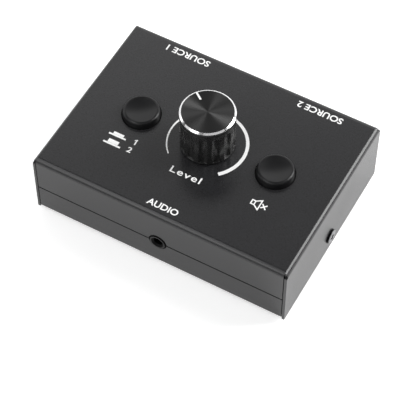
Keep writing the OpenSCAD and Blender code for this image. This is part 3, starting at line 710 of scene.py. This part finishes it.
# Width of the arc in millimetres at some angles, from its loud end to its soft end
ARC_WIDTHS = [(-46.0, 1.38), (0.0, 1.23), (62.0, 1.1), (188.0, 0.61), (227.0, 0.41)]


def arc_width(angle):
    """Width of the level arc at that angle, between the nearest two listed ones."""
    for (a, wide), (b, thin) in zip(ARC_WIDTHS, ARC_WIDTHS[1:]):
        if angle <= b:
            return wide + (thin - wide) * (angle - a) / (b - a)


arc_from, arc_to = ARC_WIDTHS[0][0], ARC_WIDTHS[-1][0]
arc_count = round((arc_to - arc_from) / ARC_STEP)
outer, inner = [], []
for i in range(arc_count + 1):
    angle = arc_from + (arc_to - arc_from) * i / arc_count
    turn = Vector((math.cos(math.radians(angle)), math.sin(math.radians(angle))))
    outer.append(tuple(turn * ARC_OUTER))
    inner.append(tuple(turn * (ARC_OUTER - arc_width(angle))))
ink_band("level_arc", outer, inner)
print("arc swells from", ARC_WIDTHS[-1][1], "to", ARC_WIDTHS[0][1], "mm")

# %% [markdown]
# ## Signs of the select button
# Two signs show the button pressed and released: a line is the panel, and a block on it is the
# button. Scaled planes could serve, but a bar of ink with four corners says the same in one line.

# %% Print the signs of the select button
def ink_bar(name, x0, x1, y0, y1):
    """Rectangle of ink, in millimetres."""
    return ink_film(name, [(x0, y0), (x1, y0), (x1, y1), (x0, y1)], [[0, 1, 2, 3]])


LINE_FROM, LINE_TO = -32.6, -25.8
BLOCK_FROM, BLOCK_TO = -31.2, -27.1
LINE_H = 0.7
BLOCK_LIFT = 0.75
# Height of each line on the panel, and how far the button stands up from it
for name, line_y, block_h in (("select_in", -13.1, 1.05), ("select_out", -17.1, 1.6)):
    block_y = line_y + BLOCK_LIFT
    ink_bar(name + "_line", LINE_FROM, LINE_TO, line_y, line_y + LINE_H)
    ink_bar(name + "_block", BLOCK_FROM, BLOCK_TO, block_y, block_y + block_h)
print("printed the select signs")

# %% [markdown]
# ## Mute sign
# The sign is a loudspeaker, drawn in outline with a thin line, and a cross beside it. Both edges
# of the line could be listed, but they would have to be kept in step by hand. So only the outer
# one is, and the inner one is found by moving each corner inwards between its two edges.

# %% Print the mute sign
def offset_outline(points, inset):
    """Outline of an anticlockwise polygon, moved inwards by that much."""
    moved = []
    for before, here, after in zip(points[-1:] + points[:-1], points, points[1:] + points[:1]):
        into = (Vector(here) - Vector(before)).normalized()
        out = (Vector(after) - Vector(here)).normalized()
        normals = [Vector((-d.y, d.x)) for d in (into, out)]
        middle = (normals[0] + normals[1]).normalized()
        moved.append(tuple(Vector(here) + middle * inset / middle.dot(normals[0])))
    return moved


SIGN_LINE = 0.45
BOX_LINE = 0.4
speaker = [(25.0, -15.6), (26.5, -15.6), (28.7, -17.15), (28.7, -12.1), (26.5, -13.45),
           (25.0, -13.45)]
ink_band("mute_speaker", speaker, offset_outline(speaker, SIGN_LINE), closed=True)
# The line between the coil's box and the cone
box_x, box_low_y = speaker[1]
box_high_y = speaker[4][1]
ink_bar("mute_speaker_line", box_x - BOX_LINE / 2, box_x + BOX_LINE / 2, box_low_y + SIGN_LINE,
        box_high_y - SIGN_LINE)
CROSS_AT = Vector((30.0, -14.6))
CROSS_ARM = 1.35
half_line = SIGN_LINE / 2
cross = []
for quarter in range(4):
    turn = Matrix.Rotation(math.radians(45 + 90 * quarter), 2)
    for spot in ((half_line, -half_line), (CROSS_ARM, -half_line), (CROSS_ARM, half_line)):
        cross.append(tuple(CROSS_AT + turn @ Vector(spot)))
ink_film("mute_cross", cross, [list(range(len(cross)))])
print("printed the mute sign")

# %% [markdown]
# ## Numbers and words
# The numbers and words are plain letters and figures. Their outlines could be drawn by hand, but
# a text object already has them, so it is turned into a mesh that is as tall and as wide as the
# print and as thin as the film. The figure 1 alone is drawn from listed points, because it has a
# flag.

# %% Print the numbers and words
LETTER_HALF = 0.5


def ink_word(name, text, cap_height, middle, width, turn=0.0, weight=0.02, spacing=1.0):
    """Word of ink of that height and width in millimetres, centred on [x, y]."""
    curve = bpy.data.curves.new(name, "FONT")
    curve.body = text
    curve.offset = weight
    curve.space_character = spacing
    curve.extrude = LETTER_HALF
    writer = bpy.data.objects.new(name + "_writer", curve)
    bpy.context.scene.collection.objects.link(writer)
    bpy.context.view_layer.update()
    mesh = bpy.data.meshes.new_from_object(writer.evaluated_get(
        bpy.context.evaluated_depsgraph_get()))
    bpy.data.objects.remove(writer)
    xs = [v.co.x for v in mesh.vertices]
    ys = [v.co.y for v in mesh.vertices]
    tall = cap_height * MM / (max(ys) - min(ys))
    wide = width * MM / (max(xs) - min(xs))
    centre = Vector(((min(xs) + max(xs)) / 2, (min(ys) + max(ys)) / 2, -LETTER_HALF))
    mesh.transform(
        Matrix.Translation((middle[0] * MM, middle[1] * MM, panel_z))
        @ Matrix.Rotation(math.radians(turn), 4, "Z")
        @ Matrix.Diagonal((wide, tall, INK_FILM, 1.0))
        @ Matrix.Translation(-centre))
    return place_piece(name, mesh, ink, "chassis")


number_1 = [(-22.35, -13.2), (-21.85, -13.2), (-21.85, -10.75), (-22.25, -10.75),
            (-22.85, -11.25), (-22.85, -11.7), (-22.35, -11.4)]
ink_film("number_1", number_1, [list(range(len(number_1)))])
ink_word("number_2", "2", 2.35, (-22.45, -15.85), 1.7)
ink_word("level_word", "Level", 2.7, (0.05, -15.7), 11.9, weight=0.015, spacing=1.2)
ink_word("front_word", "AUDIO", 2.6, (-0.2, -31.3), 11.9)
ink_word("source_1_word", "SOURCE 1", 2.7, (-25.4, 31.4), 17.5, turn=180.0)
ink_word("source_2_word", "SOURCE 2", 2.7, (28.3, 31.2), 17.7, turn=180.0)
print("printed the numbers and words")

# %% [markdown]
# ## Index line
# The knob's index is a shallow milled groove filled with white paint. A stripe in the cap's
# material could stand for it, but it would end in no clean edge at the bevel. So the paint is a
# bar that lies in the groove of the cap and turns with the knob.

# %% Fill the index groove
INDEX_FROM = 5.87 * MM
INDEX_TO = 9.24 * MM
INDEX_FOOT = 9.42 * MM
INDEX_WIDTH = 0.73 * MM
GROOVE_DEPTH = 0.15 * MM
along = Vector((math.cos(INDEX_ANGLE), math.sin(INDEX_ANGLE), 0))
side = Vector((-along.y, along.x, 0)) * INDEX_WIDTH / 2
paint = []
# The outer end slopes with the bevel, so it is longer at the groove's floor
for z, end in ((cap_top_z - GROOVE_DEPTH, INDEX_FOOT), (cap_top_z, INDEX_TO)):
    for reach, hand in ((INDEX_FROM, -1), (end, -1), (end, 1), (INDEX_FROM, 1)):
        paint.append(along * reach + side * hand + Vector((0, 0, z)))
new_piece("index_line", paint, [(3, 2, 1, 0), (4, 5, 6, 7), (0, 1, 5, 4), (1, 2, 6, 5),
                                (2, 3, 7, 6), (3, 0, 4, 7)], ink, "knob_aluminium", "level_knob")
print("index line:", round((INDEX_TO - INDEX_FROM) / MM, 2), "mm long")

# %% [markdown]
# ## Camera
# The camera stands where the photographer stood: to the right of the front and well above the
# box, with a long lens. A constraint could aim it, but then it would have no roll. So its three
# axes are worked out from angles that were found by matching the edges of the case.

# %% Set up the camera
AZIMUTH = math.radians(29.158)
ELEVATION = math.radians(54.853)
ROLL = math.radians(-0.095)
EYE_DISTANCE = 617.2 * MM
FOCAL_LENGTH = 154.584
SENSOR_WIDTH = 36.0
NEAR_CLIP = 10 * MM
AIM = Vector((1.298 * MM, -7.898 * MM, 3.553 * MM + wall_foot_z))
back = Vector((math.sin(AZIMUTH) * math.cos(ELEVATION),
               -math.cos(AZIMUTH) * math.cos(ELEVATION), math.sin(ELEVATION)))
level_right = Vector((0, 0, 1)).cross(back).normalized()
level_up = back.cross(level_right)
right = math.cos(ROLL) * level_right + math.sin(ROLL) * level_up
up = math.cos(ROLL) * level_up - math.sin(ROLL) * level_right
lens = bpy.data.cameras.new("camera")
lens.sensor_width = SENSOR_WIDTH
lens.lens = FOCAL_LENGTH
lens.clip_start = NEAR_CLIP
camera = bpy.data.objects.new("camera", lens)
camera.matrix_world = Matrix.Translation(AIM + back * EYE_DISTANCE) @ Matrix(
    (right, up, back)).transposed().to_4x4()
bpy.context.scene.collection.objects.link(camera)
bpy.context.scene.camera = camera
print("camera at", [round(c / MM) for c in camera.matrix_world.translation], "mm")

# %% [markdown]
# ## Floor
# The box stands on a white paper sweep, and its sides mirror the paper. A shadow catcher could
# give the white, but then the sides would have nothing to mirror. So the paper glows a little for
# camera, glossy and transmission rays: it reads as white and still takes a shadow.

# %% Lay the floor
CAMERA_GLOW = 0.5
MIRROR_GLOW = 0.4


def white_floor():
    material = bpy.data.materials.new("white_paper_sweep")
    material.use_nodes = True
    tree = material.node_tree
    tree.nodes.clear()
    ray = add_node(tree, "LightPath").outputs
    straight = add_node(tree, "Math", {1: CAMERA_GLOW}, {0: ray["Is Camera Ray"]},
                        operation="MULTIPLY")
    mirrored = add_node(tree, "Math", links={0: ray["Is Glossy Ray"],
                                             1: ray["Is Transmission Ray"]}, operation="MAXIMUM")
    glow = add_node(tree, "Math", {1: MIRROR_GLOW},
                    {0: mirrored.outputs[0], 2: straight.outputs[0]}, operation="MULTIPLY_ADD")
    paper = add_node(tree, "BsdfDiffuse", {"Color": linear("#f2f2f2")})
    light = add_node(tree, "Emission", links={"Strength": glow.outputs[0]})
    both = add_node(tree, "AddShader",
                    links={0: paper.outputs["BSDF"], 1: light.outputs["Emission"]})
    add_node(tree, "OutputMaterial", links={"Surface": both.outputs["Shader"]})
    return material


FLOOR_HALF = 3.0
floor_mesh = bpy.data.meshes.new("floor")
floor_mesh.from_pydata([(-FLOOR_HALF, -FLOOR_HALF, 0), (FLOOR_HALF, -FLOOR_HALF, 0),
                        (FLOOR_HALF, FLOOR_HALF, 0), (-FLOOR_HALF, FLOOR_HALF, 0)],
                       [], [(0, 1, 2, 3)])
floor_mesh.materials.append(white_floor())
floor = bpy.data.objects.new("floor", floor_mesh)
bpy.context.scene.collection.objects.link(floor)
print("floor:", 2 * FLOOR_HALF, "m square")

# %% [markdown]
# ## Softboxes
# Large lamps light a dark product gently. Point lamps would leave hard sparks on the metal, but
# area lamps are mirrored as broad shapes. The key box stands behind on the right. The front box
# and the fill card close the bright ring of the cap's bevel, and a strip overhead runs along the
# front fold.

# %% Hang the softboxes
LAMP_DISTANCE = 0.9


def softbox(name, toward, width, height, watts, along=(0, 0, 1)):
    """Area lamp in that direction from the object, facing it, with its height along a vector."""
    lamp = bpy.data.lights.new(name, "AREA")
    lamp.shape = "RECTANGLE"
    lamp.size = width
    lamp.size_y = height
    lamp.energy = watts
    held = bpy.data.objects.new(name, lamp)
    out = Vector(toward).normalized()
    across = Vector(along).cross(out).normalized()
    held.matrix_world = Matrix.Translation(out * LAMP_DISTANCE) @ Matrix(
        (across, out.cross(across), out)).transposed().to_4x4()
    bpy.context.scene.collection.objects.link(held)
    return held


softbox("key_softbox", (0.61, 0.53, 0.6), width=0.38, height=0.76, watts=8.2)
softbox("front_softbox", (-0.26, -0.82, 0.5), width=1.3, height=0.5, watts=2.4)
softbox("top_strip", (-0.31, -0.43, 0.85), width=0.32, height=0.95, watts=2.3, along=(0, 1, 0))
softbox("fill_card", (0.5, -0.36, 0.78), width=0.95, height=0.28, watts=0.72)

# %% [markdown]
# ## Room light
# The panel of the box mirrors the walls and ceiling of the studio, so one even grey would leave it
# flat. A picture of a studio could light it, but it would have to be loaded. So a ramp makes the
# room bright behind on the left and dark elsewhere, which shades the panel slowly from corner to
# corner.

# %% Fill the room with soft light
BRIGHT_SIDE = (-0.55, 0.62, -0.56)
BRIGHT_FROM, BRIGHT_TO = 0.0, 0.43
BRIGHTEST_PART = 0.37
ROOM_STRENGTH = 2.0
world = bpy.data.worlds.new("soft_room")
world.use_nodes = True
bpy.context.scene.world = world
room = world.node_tree
room.nodes.clear()
direction = add_node(room, "TexCoord").outputs["Generated"]
behind = add_node(room, "VectorMath", {1: BRIGHT_SIDE}, {0: direction},
                  operation="DOT_PRODUCT").outputs["Value"]
wall = add_node(room, "MapRange", {"From Min": BRIGHT_FROM, "From Max": BRIGHT_TO},
                {"Value": behind})
shade = add_node(room, "ValToRGB", links={"Fac": wall.outputs["Result"]})
shade.color_ramp.elements[0].color = linear("#262626")
shade.color_ramp.elements[1].color = linear("#b4b4b4")
shade.color_ramp.elements.new(BRIGHTEST_PART).color = linear("#ffffff")
air = add_node(room, "Background", {"Strength": ROOM_STRENGTH}, {"Color": shade.outputs["Color"]})
add_node(room, "OutputWorld", links={"Surface": air.outputs["Background"]})
bpy.context.scene.view_settings.view_transform = "Standard"
print("room light:", ROOM_STRENGTH, "at its brightest")

# %% [markdown]
# ## Finish

# %% Finish the scene
print("scene dressed")
